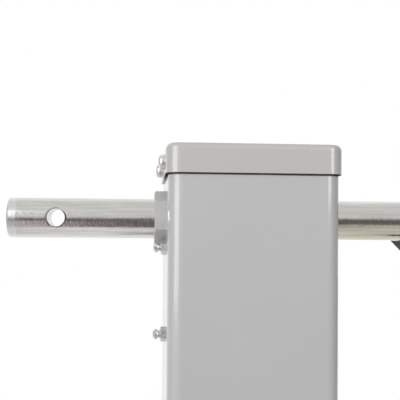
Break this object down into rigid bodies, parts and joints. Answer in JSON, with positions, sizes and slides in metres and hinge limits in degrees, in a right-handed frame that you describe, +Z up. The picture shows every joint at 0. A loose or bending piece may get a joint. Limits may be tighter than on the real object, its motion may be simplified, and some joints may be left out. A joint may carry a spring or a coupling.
{
  "type": "side-wind screw jack leg",
  "caption": "Square telescopic lifting leg: a folding crank turns a cross shaft, mitre gears and a screw that drives the inner leg out of the outer tube.",
  "frame": {"origin": "centre of the foot plate's underside, leg fully retracted", "axes": "+Z up along the leg; +X along the drive shaft towards the crank; -Y is the front, +Y the mounting plate's side"},
  "size_m": [0.4177, 0.16, 0.5828],
  "materials": {
    "body_paint": "light grey powder coat, semi-gloss, faint orange peel",
    "lid_paint": "pressed steel lid in a slightly warmer grey coat, semi-gloss",
    "bright_zinc": "bright zinc plate over drawn bar, fine drawing lines and speckle",
    "dull_steel": "plain turned and pressed steel, dull grey",
    "machined_steel": "machined steel, oiled",
    "bronze": "cast and turned bronze",
    "rubber": "black nitrile rubber",
    "nylon": "natural nylon",
    "leg_zinc": "zinc-plated steel, satin, slight spangle",
    "black_paint": "black enamel over a forging, satin, worn at the edges",
    "grip_rubber": "black moulded rubber, ribbed"
  },
  "bodies": {
    "housing": {"outer_tube": "body_paint", "top_cap": "lid_paint", "cap_gasket": "rubber", "cap_screws": "bright_zinc", "left_shaft_bushing": "dull_steel", "right_shaft_bushing": "dull_steel", "upper_grease_nipple": "bright_zinc", "lower_grease_nipple": "bright_zinc", "bearing_plate": "dull_steel", "screw_bush": "bronze", "bearing_upper_race": "machined_steel", "lower_guide_pads": "nylon", "guide_pad_screws": "bright_zinc", "end_collar": "body_paint", "wiper_seal": "rubber", "wiper_retainer": "dull_steel", "retainer_screws": "bright_zinc", "mounting_plate": "body_paint"},
    "shaft": {"drive_shaft": "bright_zinc", "bevel_pinion": "machined_steel", "pinion_pin": "machined_steel", "thrust_washers": "dull_steel", "shaft_collar": "dull_steel", "collar_pin": "machined_steel"},
    "screw": {"lift_screw": "machined_steel", "bevel_gear": "machined_steel", "gear_key": "machined_steel", "gear_pin": "machined_steel", "bearing_lower_race": "machined_steel", "stop_washer": "dull_steel", "stop_pin": "machined_steel"},
    "bearing_cage": {"ball_cage": "bronze", "bearing_balls": "machined_steel"},
    "leg": {"inner_leg": "leg_zinc", "nut_plate": "dull_steel", "lift_nut": "bronze", "nut_screws": "machined_steel", "upper_guide_pads": "nylon", "foot_plate": "leg_zinc", "foot_gussets": "leg_zinc"},
    "crank": {"crank_yoke": "black_paint", "crank_bar": "black_paint", "pivot_bolt": "bright_zinc", "pivot_nut": "bright_zinc", "pivot_washers": "bright_zinc", "grip_collar": "bright_zinc", "grip_washer": "bright_zinc", "grip_screw": "bright_zinc"},
    "grip": {"handle_grip": "grip_rubber"}
  },
  "joints": [
    {"name": "crank_turn", "type": "hinge", "parent": "housing", "child": "shaft", "pos_m": [0, 0, 0.54], "axis": [1, 0, 0], "range_deg": [0, 8640]},
    {"name": "screw_turn", "type": "hinge", "parent": "housing", "child": "screw", "pos_m": [0, 0, 0.5], "axis": [0, 0, 1], "range_deg": [0, 8640]},
    {"name": "cage_turn", "type": "hinge", "parent": "housing", "child": "bearing_cage", "pos_m": [0, 0, 0.477], "axis": [0, 0, 1], "range_deg": [0, 4320]},
    {"name": "leg_extend", "type": "slide", "parent": "housing", "child": "leg", "axis": [0, 0, -1], "range_m": [0, 0.24]},
    {"name": "crank_fold", "type": "hinge", "parent": "shaft", "child": "crank", "pos_m": [0.125, 0, 0.54], "axis": [0, -1, 0], "range_deg": [0, 90]},
    {"name": "grip_spin", "type": "hinge", "parent": "crank", "child": "grip", "pos_m": [0.255, 0, 0.34], "axis": [0, 0, 1], "continuous": true}
  ],
  "couplings": [
    {"joint": "screw_turn", "follows": "crank_turn", "ratio": 1},
    {"joint": "cage_turn", "follows": "crank_turn", "ratio": 0.5},
    {"joint": "leg_extend", "follows": "crank_turn", "m_per_rad": 0.0015915}
  ]
}
